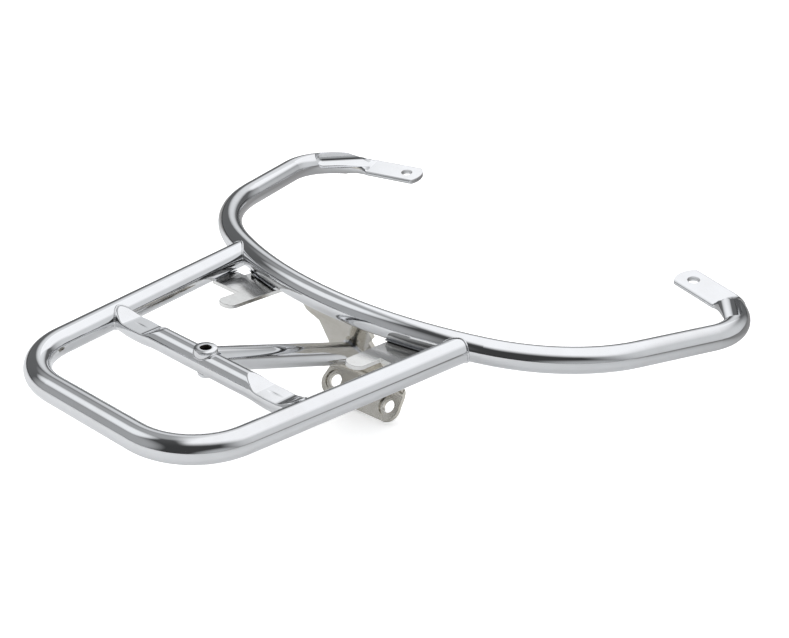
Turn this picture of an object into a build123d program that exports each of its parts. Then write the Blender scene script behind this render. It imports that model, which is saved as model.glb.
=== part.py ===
from build123d import *
import os
from math import cos, radians, sin, sqrt, tan

# Chromed steel luggage rack for a motorcycle.
# A horseshoe grab bar bolts to the frame at its two flattened ends. A U-shaped deck hoop, a cross tube with
# a threaded boss, a slanted stay and a folded bracket are welded to it, with a hook plate on each side.
# Millimetres, X to the rider's right, Y forward, Z up. The origin is on the threaded boss's axis at the
# centre plane of the deck tubes, and X = 0 is the plane of symmetry.

# Tube and sheet stock
tube_d = 19.1
brace_d = 17.3
tube_wall = 1.9
plate_t = 3.2
weld_leg = 1.6
weld_setback = 5.0
boss_weld_leg = 0.8

# Grab bar, a flat horseshoe that drops towards the front
bar_ahead = 121.4
bar_rise = 2.55
bar_pitch = 3.51
bar_mid_radius = 302.1
bar_mid_angle = 24.0
bar_side_radius = 131.4
bar_side_angle = 49.2
bar_arm_length = 71.7
bar_tip_radius = 53.8
bar_tip_angle = 64.8

# Flattened and drilled ends of the grab bar
press_length = 23.5
press_drop = 2.4
press_turn = 27.0
press_corner_angle = 50.0
press_steps = 3
tab_pitch = 8.0
tab_width = 26.0
tab_seam = 0.2
tab_length = 48.5
tab_nose_radius = 18.5
tab_corner_radius = 3.0
tab_hole_d = 10.0
tab_hole_reach = 34.5
scoop_radius = 8.5
scoop_reach = 45.0
scoop_rise = 6.6
scoop_turn = 38.0

# Deck hoop
hoop_front_half = 109.3
hoop_rear_half = 85.65
hoop_rear_reach = 95.3
hoop_corner_radius = 49.3
hoop_end_setback = 1.6

# Cross tube with its pressed seats
dent_rail_gap = 17.5
dent_length = 23.2
dent_ramp = 28.0
dent_floor_z = 2.8
dent_bulge = 1.0
dent_bulge_margin = 5.0
dent_edge_radius = 2.0

# Threaded boss, a stepped M8 bush through the cross tube
boss_head_d = 16.2
boss_shank_d = 11.0
boss_core_d = 6.8
boss_head_stand = 2.55
boss_head_sink = 3.05
boss_foot_stand = 1.55
boss_chamfer = 0.8

# Stay tube, from just above the cross tube's axis to a point above the bracket's fold
stay_start_rise = 2.2
stay_foot_rise = 30.4

# Folded bracket, slightly swept back on both sides of its middle crease
bracket_sweep = 0.1
bracket_lean = 30.96
bracket_crease_ahead = 1.6
bracket_bury = 0.45
bracket_depth = 77.5
bracket_fold_radius = 4.0
ear_lean = 38.66
bracket_head_half = 33.4
bracket_neck_half = 25.2
bracket_waist_half = 27.8
bracket_foot_half = 36.8
bracket_shoulder_rise = 68.1
bracket_neck_rise = 59.0
bracket_waist_rise = 31.9
bracket_corner_radius = 1.5
ear_hole_half = 27.6
ear_hole_reach = 13.2
ear_radius = 11.2
ear_arc_reach = 14.4
ear_hole_d = 10.5
ear_dish_d = 16.5
ear_dish_depth = 1.4
ear_dish_wall = 1.0
bracket_skirt = 28.3
fold_margin = 4.0
fold_cover = 1.5

# Hook plates under the grab bar
hook_root_gap = 0.8
hook_inner_x = 55.7
hook_finger_width = 15.5
hook_finger_reach = 46.7
hook_finger_radius = 7.0
hook_rear_reach = 23.5
hook_rail_gap = 0.3
hook_relief_depth = 8.0
hook_relief_y = 2.0
hook_under_bar = 3.0

# Extra length of a blank where another piece trims it
trim = 12.0

tube_r = tube_d / 2
brace_r = brace_d / 2
tab_thickness = 2 * tube_wall + tab_seam
hoop_rear_y = -hoop_rear_reach
hook_rear_y = -hook_rear_reach
boss_top_z = brace_r + boss_head_stand
boss_seat_z = brace_r - boss_head_sink
boss_bottom_z = -brace_r - boss_foot_stand
bracket_fold_z = -bracket_depth


def round_solid(path, radius):
    """Solid round bar of the given radius along a bent path."""
    with BuildPart() as bar:
        with BuildSketch(Plane(origin=path @ 0, z_dir=path % 0)):
            Circle(radius)
        sweep(path=path)
    return bar.part


def press_section(plane, along, radius, half_width, half_height):
    """Section of the tube between round and flat, with round sides and crowned top and bottom."""
    corner_x = radius * cos(radians(press_corner_angle)) * (1 - along) + (half_width - half_height) * along
    corner_y = radius * sin(radians(press_corner_angle)) * (1 - along) + half_height * along
    edge = radius * (1 - along) + half_width * along
    crown = radius * (1 - along) + half_height * along
    with BuildSketch(plane) as section:
        with BuildLine():
            if along < 1:
                ThreePointArc((corner_x, corner_y), (0, crown), (-corner_x, corner_y))
                ThreePointArc((-corner_x, -corner_y), (0, -crown), (corner_x, -corner_y))
            else:
                Line((corner_x, corner_y), (-corner_x, corner_y))
                Line((-corner_x, -corner_y), (corner_x, -corner_y))
            ThreePointArc((-corner_x, corner_y), (-edge, 0), (-corner_x, -corner_y))
            ThreePointArc((corner_x, -corner_y), (edge, 0), (corner_x, corner_y))
        make_face()
    return section.sketch


def press_sections(guide, up_start, up_end, radius, half_width, half_height):
    """Sections from the round tube to the flat tab along a guide line."""
    sections = []
    for step in range(press_steps + 1):
        along = step / press_steps
        up = up_start * (1 - along) + up_end * along
        tangent = guide % along
        plane = Plane(origin=guide @ along, x_dir=tangent.cross(up), z_dir=tangent)
        sections.append(press_section(plane, along, radius, half_width, half_height))
    return sections


# Grab bar
bar_plane = Plane(
    origin=(0, bar_ahead, bar_rise),
    x_dir=(1, 0, 0),
    z_dir=(0, sin(radians(bar_pitch)), cos(radians(bar_pitch))),
)
with BuildLine(bar_plane) as bar_line:
    bar_middle = JernArc((0, 0), (1, 0), bar_mid_radius, bar_mid_angle)
    bar_side = JernArc(bar_middle @ 1, bar_middle % 1, bar_side_radius, bar_side_angle)
    bar_arm = Line(bar_side @ 1, bar_side @ 1 + (bar_side % 1) * bar_arm_length)
    bar_tip = JernArc(bar_arm @ 1, bar_arm % 1, bar_tip_radius, bar_tip_angle)
    mirror(about=Plane.YZ)
bar_path = Wire(bar_line.line.edges())
bar_core = round_solid(bar_path, tube_r)

tab_heading = bar_mid_angle + bar_side_angle + bar_tip_angle + press_turn
tab_up = Vector(0, -sin(radians(tab_pitch)), cos(radians(tab_pitch)))
tab_dir = Vector(
    cos(radians(tab_heading)),
    sin(radians(tab_heading)),
    sin(radians(tab_heading)) * tan(radians(tab_pitch)),
).normalized()
tab_root = bar_tip @ 1 + (bar_tip % 1) * press_length - bar_plane.z_dir * press_drop
tab_plane = Plane(origin=tab_root, x_dir=tab_dir, z_dir=tab_up)
with BuildLine():
    press_guide = Spline(bar_tip @ 1, tab_root, tangents=(bar_tip % 1, tab_dir))
press_outer = press_sections(
    press_guide, bar_plane.z_dir, tab_up, tube_r, tab_width / 2, tab_thickness / 2
)
press_inner = press_sections(
    press_guide, bar_plane.z_dir, tab_up, tube_r - tube_wall, tab_width / 2 - tube_wall, tab_seam / 2
)

tab_back = -tab_dir
scoop_level = tab_back * cos(radians(scoop_turn)) - tab_up.cross(tab_back) * sin(radians(scoop_turn))
scoop_dir = scoop_level * cos(radians(scoop_rise)) + tab_up * sin(radians(scoop_rise))
scoop_up = tab_up * cos(radians(scoop_rise)) - scoop_level * sin(radians(scoop_rise))
scoop_foot = tab_root + tab_up * (tab_thickness / 2)


def scoop(wall):
    """Round-ended hollow that the press leaves above the tab's root, grown by the wall for the bore."""
    with BuildPart(Plane(origin=scoop_foot + scoop_up * scoop_radius, z_dir=scoop_dir)) as punch:
        Cylinder(scoop_radius + wall, scoop_reach, align=(Align.CENTER, Align.CENTER, Align.MIN))
        with Locations((0, 0, 0), (0, 0, scoop_reach)):
            Sphere(scoop_radius + wall)
    return punch.part


scoop_outer = scoop(0)
scoop_inner = scoop(tube_wall)
bar_bore_blank = round_solid(bar_path, tube_r - tube_wall)

with BuildPart() as tab_bore:
    loft(press_inner)
    add(scoop_inner, mode=Mode.SUBTRACT)
    extrude(press_inner[press_steps], amount=tab_length + trim, dir=tab_dir)

with BuildPart() as bar_bore:
    add(bar_bore_blank)
    add(scoop_inner, mode=Mode.SUBTRACT)

with BuildPart() as tab_flat:
    extrude(press_outer[press_steps], amount=tab_length, dir=tab_dir)
    with BuildSketch(tab_plane):
        with BuildLine():
            nose_shoulder = tab_length - tab_nose_radius + sqrt(tab_nose_radius**2 - (tab_width / 2) ** 2)
            nose = ThreePointArc(
                (nose_shoulder, -tab_width / 2), (tab_length, 0), (nose_shoulder, tab_width / 2)
            )
            Polyline(nose @ 1, (0, tab_width / 2), (0, -tab_width / 2), nose @ 0)
        outline = make_face()
        fillet(outline.vertices().sort_by(Axis.X)[-2:], tab_corner_radius)
    extrude(amount=tab_width, both=True, mode=Mode.INTERSECT)

with BuildPart() as bar_half:
    add(bar_core)
    loft(press_outer)
    add(scoop_outer, mode=Mode.SUBTRACT)
    add(tab_flat.part)
    add(bar_bore.part, mode=Mode.SUBTRACT)
    add(tab_bore.part, mode=Mode.SUBTRACT)
    with BuildSketch(tab_plane):
        with Locations((tab_hole_reach, 0)):
            Circle(tab_hole_d / 2)
    extrude(amount=tab_width, both=True, mode=Mode.SUBTRACT)
    split(bisect_by=Plane.YZ)

with BuildPart() as grab_bar:
    add(bar_half.part)
    mirror(about=Plane.YZ)

# Deck hoop, its rails cut to sit against the back of the grab bar
hoop_front_y = bar_ahead + bar_mid_radius - sqrt(bar_mid_radius**2 - hoop_front_half**2)
rail_slope = (hoop_front_half - hoop_rear_half) / (hoop_front_y - hoop_rear_y)
hoop_end_y = hoop_front_y - hoop_end_setback
hoop_end_half = hoop_front_half - rail_slope * hoop_end_setback
with BuildLine() as hoop_line:
    FilletPolyline(
        (hoop_end_half, hoop_end_y),
        (hoop_rear_half, hoop_rear_y),
        (-hoop_rear_half, hoop_rear_y),
        (-hoop_end_half, hoop_end_y),
        radius=hoop_corner_radius,
    )
hoop_path = hoop_line.wires()[0]
hoop_core = round_solid(hoop_path, tube_r)
hoop_bore = round_solid(hoop_path, tube_r - tube_wall)
with BuildPart() as deck_hoop:
    add(hoop_core)
    add(hoop_bore, mode=Mode.SUBTRACT)
    add(bar_core, mode=Mode.SUBTRACT)

# Cross tube, turned profile with a slight bulge where its top is pressed flat
cross_rail_half = hoop_rear_half - rail_slope * hoop_rear_y
cross_end = cross_rail_half - sqrt(tube_r**2 - brace_r**2)
dent_outer = cross_rail_half - dent_rail_gap
dent_inner = dent_outer - dent_length
bulge_start = dent_inner - dent_bulge_margin
bulge_end = dent_outer + dent_bulge_margin


def cross_solid(radius):
    """Round blank of the cross tube, swollen at both pressed seats."""
    with BuildPart() as blank:
        with BuildSketch(Plane.XY):
            with BuildLine():
                Polyline((bulge_start, radius), (0, radius), (0, 0), (cross_end, 0), (cross_end, radius))
                Line((cross_end, radius), (bulge_end, radius))
                ThreePointArc(
                    (bulge_end, radius),
                    ((bulge_start + bulge_end) / 2, radius + dent_bulge),
                    (bulge_start, radius),
                )
            make_face()
        revolve(axis=Axis.X)
        mirror(about=Plane.YZ)
    return blank.part


def dent_solid(wall):
    """Block that the press leaves free above a seat, thickened by the wall for the bore."""
    with BuildPart() as block:
        with BuildSketch(Plane.XZ):
            with BuildLine():
                Polyline(
                    (dent_inner - trim / tan(radians(dent_ramp)), dent_floor_z + trim),
                    (dent_inner, dent_floor_z),
                    (dent_outer, dent_floor_z),
                    (dent_outer + trim / tan(radians(dent_ramp)), dent_floor_z + trim),
                    close=True,
                )
            seat = make_face()
            fillet(seat.vertices().group_by(Axis.Y)[0], dent_edge_radius)
            if wall:
                offset(amount=wall, kind=Kind.INTERSECTION)
        extrude(amount=brace_d, both=True)
        mirror(about=Plane.YZ)
    return block.part


cross_blank = cross_solid(brace_r)
cross_bore_blank = cross_solid(brace_r - tube_wall)
dent_outer_block = dent_solid(0)
dent_inner_block = dent_solid(tube_wall)

with BuildPart() as cross_core:
    add(cross_blank)
    add(dent_outer_block, mode=Mode.SUBTRACT)

boss_bottom = Plane.XY.offset(boss_bottom_z)
boss_seat = Plane.XY.offset(boss_seat_z)
with BuildPart() as boss_core:
    with BuildSketch(boss_bottom):
        Circle(boss_shank_d / 2)
    extrude(amount=boss_top_z - boss_bottom_z)
    with BuildSketch(boss_seat):
        Circle(boss_head_d / 2)
    extrude(amount=boss_top_z - boss_seat_z)

with BuildPart() as cross_bore:
    add(cross_bore_blank)
    add(dent_inner_block, mode=Mode.SUBTRACT)

with BuildPart() as cross_tube:
    add(cross_core.part)
    add(cross_bore.part, mode=Mode.SUBTRACT)
    add(boss_core.part, mode=Mode.SUBTRACT)
    add(hoop_core, mode=Mode.SUBTRACT)

with BuildPart() as threaded_boss:
    add(boss_core.part)
    with BuildSketch(boss_bottom):
        Circle(boss_core_d / 2)
    extrude(amount=boss_top_z - boss_bottom_z, mode=Mode.SUBTRACT)
    chamfer(threaded_boss.edges().group_by(Axis.Z)[0], boss_chamfer)
    chamfer(threaded_boss.edges().group_by(Axis.Z)[-1], boss_chamfer)

# Bracket, right half on the flanges' own planes, then mirrored about the crease
lean = tan(radians(bracket_lean))
fold_y = bar_ahead + bracket_crease_ahead + lean * bracket_depth
fold_point = Vector(0, fold_y, bracket_fold_z)
sweep_dir = Vector(1, -bracket_sweep, 0)
crease_up = Vector(0, -sin(radians(bracket_lean)), cos(radians(bracket_lean)))
ear_down = Vector(0, -sin(radians(ear_lean)), -cos(radians(ear_lean)))
bracket_head_rise = (bar_rise + bracket_bury + bracket_depth) / cos(radians(bracket_lean))
flange_plane = Plane(origin=fold_point, x_dir=sweep_dir, z_dir=sweep_dir.cross(crease_up))
ear_plane = Plane(origin=fold_point, x_dir=sweep_dir, z_dir=sweep_dir.cross(ear_down))
flange_skew = bracket_sweep * sin(radians(bracket_lean))
ear_skew = bracket_sweep * sin(radians(ear_lean))
ear_hole_at = ear_hole_half + ear_skew * ear_hole_reach

with BuildPart() as bracket_sheet:
    with BuildSketch(Plane.YZ):
        with BuildLine():
            head = fold_point + crease_up * bracket_head_rise
            skirt = fold_point + ear_down * (bracket_skirt + trim)
            FilletPolyline(
                (head.Y, head.Z),
                (fold_point.Y, fold_point.Z),
                (skirt.Y, skirt.Z),
                radius=bracket_fold_radius,
            )
            offset(amount=plate_t, side=Side.LEFT)
        make_face()
    extrude(amount=bracket_foot_half + trim, dir=sweep_dir)

with BuildPart() as bracket_outline:
    with BuildSketch(flange_plane.offset(-plate_t - fold_cover)):
        with BuildLine():
            flank = FilletPolyline(
                (bracket_foot_half, -fold_margin),
                (bracket_foot_half, 0),
                (bracket_waist_half + flange_skew * bracket_waist_rise, bracket_waist_rise),
                (bracket_neck_half + flange_skew * bracket_neck_rise, bracket_neck_rise),
                (bracket_head_half + flange_skew * bracket_shoulder_rise, bracket_shoulder_rise),
                (bracket_head_half + flange_skew * bracket_head_rise, bracket_head_rise + trim),
                radius=bracket_corner_radius,
            )
            Polyline(
                flank @ 1,
                (-trim, bracket_head_rise + trim),
                (-trim, -fold_margin),
                flank @ 0,
            )
        make_face()
    extrude(amount=plate_t + 2 * fold_cover)
    with BuildSketch(ear_plane.offset(-fold_cover)):
        with BuildLine():
            Polyline(
                (-trim, -fold_margin),
                (bracket_foot_half, -fold_margin),
                (bracket_foot_half, 0),
                (ear_hole_at + ear_radius, ear_arc_reach),
                (ear_hole_at, ear_arc_reach),
                (ear_hole_at, ear_arc_reach + ear_radius),
                (0, bracket_skirt),
                (-trim, bracket_skirt),
                close=True,
            )
        make_face()
        with Locations((ear_hole_at, ear_arc_reach)):
            Circle(ear_radius)
    extrude(amount=plate_t + 2 * fold_cover)

with BuildPart() as centre_bracket:
    add(bracket_sheet.part)
    add(bracket_outline.part, mode=Mode.INTERSECT)
    with BuildSketch(ear_plane):
        with Locations((ear_hole_at, ear_hole_reach)):
            Circle(ear_dish_d / 2 + ear_dish_wall)
    extrude(amount=plate_t + ear_dish_depth)
    with BuildSketch(ear_plane):
        with Locations((ear_hole_at, ear_hole_reach)):
            Circle(ear_dish_d / 2)
    extrude(amount=ear_dish_depth, mode=Mode.SUBTRACT)
    with BuildSketch(ear_plane):
        with Locations((ear_hole_at, ear_hole_reach)):
            Circle(ear_hole_d / 2)
    extrude(amount=trim, mode=Mode.SUBTRACT)
    mirror(about=Plane.YZ)
    add(bar_core, mode=Mode.SUBTRACT)

# Stay tube, from the front of the cross tube to the back of the bracket
stay_start = Vector(0, 0, stay_start_rise)
stay_foot = fold_point + crease_up * stay_foot_rise
stay_plane = Plane(origin=stay_start, x_dir=(1, 0, 0), z_dir=stay_foot - stay_start)
stay_reach = (stay_foot - stay_start).length + brace_d + trim


def flange_slab(behind, ahead):
    """Both halves of the bracket's upper flange, from behind its rear face to ahead of it."""
    rearward = crease_up.cross(Vector(1, 0, 0)) * -behind
    head = fold_point + crease_up * bracket_head_rise + rearward
    foot = fold_point + rearward
    with BuildPart() as slab:
        with BuildSketch(Plane.YZ):
            with BuildLine():
                Line((head.Y, head.Z), (foot.Y, foot.Z))
                offset(amount=behind + ahead, side=Side.LEFT)
            make_face()
        extrude(amount=bracket_head_half, dir=sweep_dir)
        mirror(about=Plane.YZ)
    return slab.part


flange_front = flange_slab(0, stay_reach)

with BuildPart() as stay_core:
    with BuildSketch(stay_plane):
        Circle(brace_r)
    extrude(amount=stay_reach)
    add(flange_front, mode=Mode.SUBTRACT)
    add(cross_core.part, mode=Mode.SUBTRACT)
    add(boss_core.part, mode=Mode.SUBTRACT)

with BuildPart() as stay_tube:
    add(stay_core.part)
    with BuildSketch(stay_plane):
        Circle(brace_r - tube_wall)
    extrude(amount=stay_reach, mode=Mode.SUBTRACT)

# Hook plates, level with the grab bar's underside and just inside the rails
hook_plane = bar_plane.offset(-tube_r - hook_root_gap)
hook_tip_y = -hook_finger_reach
hook_level = tube_r + hook_root_gap - bar_rise
hook_rail_half = hoop_rear_half + rail_slope * (bar_ahead + hook_rear_y - hoop_rear_y)
hook_outer_x = hook_rail_half - sqrt(tube_r**2 - hook_level**2) - hook_rail_gap
hook_relief_x = hook_outer_x - hook_relief_depth
hook_front_y = bar_mid_radius - sqrt(bar_mid_radius**2 - hook_relief_x**2) + trim


def hook_blank(above, below):
    """Right hook plate's outline between two heights above and below its top face."""
    with BuildPart() as plate:
        with BuildSketch(hook_plane.offset(above)):
            with BuildLine():
                Polyline(
                    (hook_inner_x, hook_tip_y),
                    (hook_inner_x + hook_finger_width, hook_tip_y),
                    (hook_inner_x + hook_finger_width, hook_rear_y),
                    (hook_outer_x, hook_rear_y),
                    (hook_outer_x, hook_relief_y),
                    (hook_relief_x, hook_relief_y),
                    (hook_relief_x, hook_front_y),
                    (hook_inner_x, hook_front_y),
                    close=True,
                )
            outline = make_face()
            fillet(outline.vertices().group_by(Axis.Y)[0], hook_finger_radius)
            with Locations((0, bar_mid_radius)):
                Circle(bar_mid_radius - hook_under_bar, mode=Mode.SUBTRACT)
        extrude(amount=-above - below)
    return plate.part


hook_sheet = hook_blank(0, plate_t)
hook_bar_slab = hook_blank(hook_root_gap + weld_leg, 0)
hook_rail_slab = hook_blank(weld_leg, plate_t + weld_leg)

with BuildPart() as hook_plate_right:
    add(hook_sheet)
    add(bar_core, mode=Mode.SUBTRACT)
    add(hoop_core, mode=Mode.SUBTRACT)

with BuildPart() as hook_plate_left:
    mirror(hook_plate_right.part, about=Plane.YZ)

# Weld deposits, each the corner between two pieces up to the weld's leg
bar_skin = round_solid(bar_path, tube_r + weld_leg)
hoop_drop = bar_rise - (hoop_front_y - bar_ahead) * tan(radians(bar_pitch))
hoop_bar_skin = round_solid(bar_path, tube_r + weld_leg + hoop_drop)
rail_plane = Plane(origin=(hoop_end_half, hoop_end_y, 0), z_dir=(-rail_slope, -1, 0))
flange_sheet = flange_slab(0, plate_t)
flange_rear_skin = flange_slab(weld_leg, 0)
flange_skin = flange_slab(weld_leg, plate_t + weld_leg)

with BuildPart() as rail_skin:
    with BuildSketch(rail_plane):
        Circle(tube_r + weld_leg)
    extrude(amount=hoop_end_y + tube_d)

with BuildPart() as cross_skin:
    with BuildSketch(Plane.YZ):
        Circle(brace_r + weld_leg)
    extrude(amount=cross_end, both=True)

with BuildPart() as boss_head_skin:
    with BuildSketch(boss_seat.offset(-boss_weld_leg)):
        Circle(boss_head_d / 2 + boss_weld_leg)
    extrude(amount=2 * boss_weld_leg)

with BuildPart() as boss_shank_skin:
    with BuildSketch(boss_bottom):
        Circle(boss_shank_d / 2 + boss_weld_leg)
    extrude(amount=-boss_bottom_z)

with BuildPart() as stay_skin:
    with BuildSketch(stay_plane.offset(weld_setback)):
        Circle(brace_r + weld_leg)
    extrude(amount=stay_reach)

with BuildPart() as weld_hoop_right:
    add(rail_skin.part)
    add(hoop_bar_skin, mode=Mode.INTERSECT)
    add(bar_core, mode=Mode.SUBTRACT)
    add(hoop_core, mode=Mode.SUBTRACT)

with BuildPart() as weld_cross_right:
    add(rail_skin.part)
    add(cross_skin.part, mode=Mode.INTERSECT)
    add(cross_blank, mode=Mode.SUBTRACT)
    add(hoop_core, mode=Mode.SUBTRACT)

with BuildPart() as weld_boss_top:
    add(boss_head_skin.part)
    add(cross_skin.part, mode=Mode.INTERSECT)
    add(cross_core.part, mode=Mode.SUBTRACT)
    add(boss_core.part, mode=Mode.SUBTRACT)
    add(stay_core.part, mode=Mode.SUBTRACT)
    add(weld_boss_top.solids().sort_by(SortBy.VOLUME)[-1], mode=Mode.REPLACE)

with BuildPart() as weld_boss_bottom:
    add(boss_shank_skin.part)
    add(cross_skin.part, mode=Mode.INTERSECT)
    add(cross_core.part, mode=Mode.SUBTRACT)
    add(boss_core.part, mode=Mode.SUBTRACT)
    add(stay_core.part, mode=Mode.SUBTRACT)

with BuildPart() as weld_stay_rear:
    add(stay_skin.part)
    add(cross_skin.part, mode=Mode.INTERSECT)
    add(stay_core.part, mode=Mode.SUBTRACT)
    add(cross_core.part, mode=Mode.SUBTRACT)
    add(boss_core.part, mode=Mode.SUBTRACT)
    add(weld_boss_top.part, mode=Mode.SUBTRACT)
    add(weld_boss_bottom.part, mode=Mode.SUBTRACT)

with BuildPart() as weld_stay_front:
    add(stay_skin.part)
    add(flange_rear_skin, mode=Mode.INTERSECT)
    add(stay_core.part, mode=Mode.SUBTRACT)

with BuildPart() as weld_bracket:
    add(flange_skin)
    add(bar_skin, mode=Mode.INTERSECT)
    add(flange_sheet, mode=Mode.SUBTRACT)
    add(bar_core, mode=Mode.SUBTRACT)

with BuildPart() as weld_hook_bar_right:
    add(hook_bar_slab)
    add(bar_skin, mode=Mode.INTERSECT)
    add(bar_core, mode=Mode.SUBTRACT)

with BuildPart() as weld_hook_rail_right:
    add(hook_rail_slab)
    add(rail_skin.part, mode=Mode.INTERSECT)
    add(hook_plate_right.part, mode=Mode.SUBTRACT)
    add(hoop_core, mode=Mode.SUBTRACT)
    add(weld_hook_rail_right.solids().sort_by(SortBy.VOLUME)[-1], mode=Mode.REPLACE)

with BuildPart() as weld_hoop_left:
    mirror(weld_hoop_right.part, about=Plane.YZ)

with BuildPart() as weld_cross_left:
    mirror(weld_cross_right.part, about=Plane.YZ)

with BuildPart() as weld_hook_bar_left:
    mirror(weld_hook_bar_right.part, about=Plane.YZ)

with BuildPart() as weld_hook_rail_left:
    mirror(weld_hook_rail_right.part, about=Plane.YZ)

pieces = {
    "grab_bar": grab_bar,
    "deck_hoop": deck_hoop,
    "cross_tube": cross_tube,
    "threaded_boss": threaded_boss,
    "stay_tube": stay_tube,
    "centre_bracket": centre_bracket,
    "hook_plate_left": hook_plate_left,
    "hook_plate_right": hook_plate_right,
    "weld_hoop_left": weld_hoop_left,
    "weld_hoop_right": weld_hoop_right,
    "weld_cross_left": weld_cross_left,
    "weld_cross_right": weld_cross_right,
    "weld_boss_top": weld_boss_top,
    "weld_boss_bottom": weld_boss_bottom,
    "weld_stay_rear": weld_stay_rear,
    "weld_stay_front": weld_stay_front,
    "weld_bracket": weld_bracket,
    "weld_hook_bar_left": weld_hook_bar_left,
    "weld_hook_bar_right": weld_hook_bar_right,
    "weld_hook_rail_left": weld_hook_rail_left,
    "weld_hook_rail_right": weld_hook_rail_right,
}
os.makedirs("parts", exist_ok=True)
for name, piece in pieces.items():
    piece.part.label = name
    export_step(piece.part, f"parts/{name}.step")
    print(name, [round(solid.volume, 1) for solid in piece.part.solids()])
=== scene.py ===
import math

import bmesh
import bpy
from mathutils import Matrix, Vector


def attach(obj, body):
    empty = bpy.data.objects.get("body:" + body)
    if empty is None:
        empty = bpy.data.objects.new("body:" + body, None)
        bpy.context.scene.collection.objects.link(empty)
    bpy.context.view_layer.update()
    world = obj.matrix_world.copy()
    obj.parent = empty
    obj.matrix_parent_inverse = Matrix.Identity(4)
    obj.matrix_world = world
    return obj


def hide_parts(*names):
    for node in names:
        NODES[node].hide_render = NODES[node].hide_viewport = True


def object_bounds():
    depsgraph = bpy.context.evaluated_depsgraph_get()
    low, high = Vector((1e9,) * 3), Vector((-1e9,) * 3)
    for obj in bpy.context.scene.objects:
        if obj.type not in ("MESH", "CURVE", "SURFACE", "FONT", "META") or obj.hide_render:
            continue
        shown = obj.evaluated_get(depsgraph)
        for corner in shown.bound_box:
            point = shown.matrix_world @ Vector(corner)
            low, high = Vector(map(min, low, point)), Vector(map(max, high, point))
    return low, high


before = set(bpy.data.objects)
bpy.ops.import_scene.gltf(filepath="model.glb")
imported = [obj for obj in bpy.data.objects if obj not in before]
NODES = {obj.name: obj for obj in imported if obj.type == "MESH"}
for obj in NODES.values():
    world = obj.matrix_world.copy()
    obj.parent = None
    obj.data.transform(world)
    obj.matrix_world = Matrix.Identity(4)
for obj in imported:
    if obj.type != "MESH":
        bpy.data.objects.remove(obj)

bl_info = {
    "name": "Chromed luggage rack",
    "version": (1, 0, 0),
    "blender": (4, 5, 0),
    "location": "View3D > Sidebar > Rack",
    "description": "Finishes a chromed tubular luggage rack and lights it in a pale studio",
    "category": "Add Mesh",
}

CAD_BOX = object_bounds()
UP = Vector((0.0, 0.0, 1.0))

# Nodes by the way they are finished
TUBES = ("grab_bar", "deck_hoop", "stay_tube")
HOOKS = ("hook_plate_left", "hook_plate_right")
SEAMS = (
    "weld_hoop_right",
    "weld_hoop_left",
    "weld_cross_right",
    "weld_cross_left",
    "weld_boss_top",
    "weld_boss_bottom",
)
PLAIN_WELDS = tuple(name for name in NODES if name.startswith("weld_") and name not in SEAMS)

# Chrome finishes: roughness that the haze adds, strength of the bump, and scales of haze and grain
SHEET_FINISH = {
    "spread": 0.12, "bump": 0.12,
    "haze": {"cloud_scale": 30.0, "wisp_scale": 160.0},
    "grain": {"grain_scale": 1100.0, "wave_scale": 90.0},
}
FINISHES = {
    "polished_tube": {
        "spread": 0.035, "bump": 0.01,
        "haze": {"cloud_scale": 16.0, "wisp_scale": 70.0},
        "grain": {"grain_scale": 500.0, "wave_scale": 45.0},
    },
    "pressed_tube": {
        "spread": 0.05, "bump": 0.015,
        "haze": {"cloud_scale": 26.0, "wisp_scale": 110.0},
        "grain": {"grain_scale": 600.0, "wave_scale": 70.0},
    },
    "bracket_chrome": SHEET_FINISH,
    "hook_chrome": SHEET_FINISH,
    "turned_boss": {
        "spread": 0.06, "bump": 0.08,
        "haze": {"cloud_scale": 40.0, "wisp_scale": 200.0},
        "grain": {"grain_scale": 1200.0, "wave_scale": 200.0},
    },
    # Near-black steel of the thread: painted shade inside the boss's bore
    "thread_painted_shade": {
        "spread": 0.3, "bump": 0.2,
        "haze": {"cloud_scale": 90.0, "wisp_scale": 400.0},
        "grain": {"grain_scale": 2400.0, "wave_scale": 400.0},
    },
    "weld_bead_chrome": {
        "spread": 0.1, "bump": 0.3,
        "haze": {"cloud_scale": 60.0, "wisp_scale": 240.0},
        "grain": {"grain_scale": 420.0, "wave_scale": 300.0},
    },
}
BUMP_DISTANCE = 0.0002
# The thread's hazed tone keeps this share of its colour, a still darker painted shade in the bore
THREAD_SHADE = 0.6

# Rounded sheet edges
MERGE_DISTANCE = 2e-6
FLAT_ANGLE = math.radians(0.5)
SHEET_EDGE_ANGLE = math.radians(35.0)
SHEET_EDGE_SEGMENTS = 3
FLAT_FACE_WEIGHT = 90

# Turned boss and its thread
BOSS_SIDES = 56
TURNED_EDGE_ANGLE = math.radians(28.0)
HEAD_UNDER_BEVEL = 0.25
HEAD_SHOULDER_IN = 0.3
HEAD_SHOULDER_DOWN = 0.35
THREAD_RINGS = 8
THREAD_SLOPE = 1.5
THREAD_CREST = 0.25

# Cross tube: its rings stand closer from a few tube radii before a seat
CROSS_SIDES = 120
CROSS_FINE_STEP = 0.0005
CROSS_WIDE_STEP = 0.003
CROSS_FINE_LEAD = 2.2
CROSS_END_SHARES = (0.2, 0.4, 0.6, 0.8, 1.0)
CROSS_END_COVER = 0.0003
CROSS_CAP_RISE = 0.0005

# Weld beads; the ripples' pitch is in bead radii
SEAM_POINTS = 96
SEARCH_REACH = 0.03
SEARCH_HALVINGS = 30
BOSS_SEAM_BLEND = 0.002
BEAD_POINTS = 288
BEAD_SIDES = 10
BEAD_NOISE_SCALE = 260.0
BEAD_NOISE_SHARE = 2.0
RIPPLE_PITCH = 1.4

# Room light: start and end along a direction, then the level at each
ROOM_RAMP = (-0.75, 0.85, 0.06, 0.16)
HORIZON_RAMP = (0.0, 0.08, 0.3, 1.0)
ROOM_TINT = (0.96, 0.98, 1.0, 1.0)
BACKDROP_COLOUR = (1.0, 1.0, 1.0)
TABLE_TURN = 30.0

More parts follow.
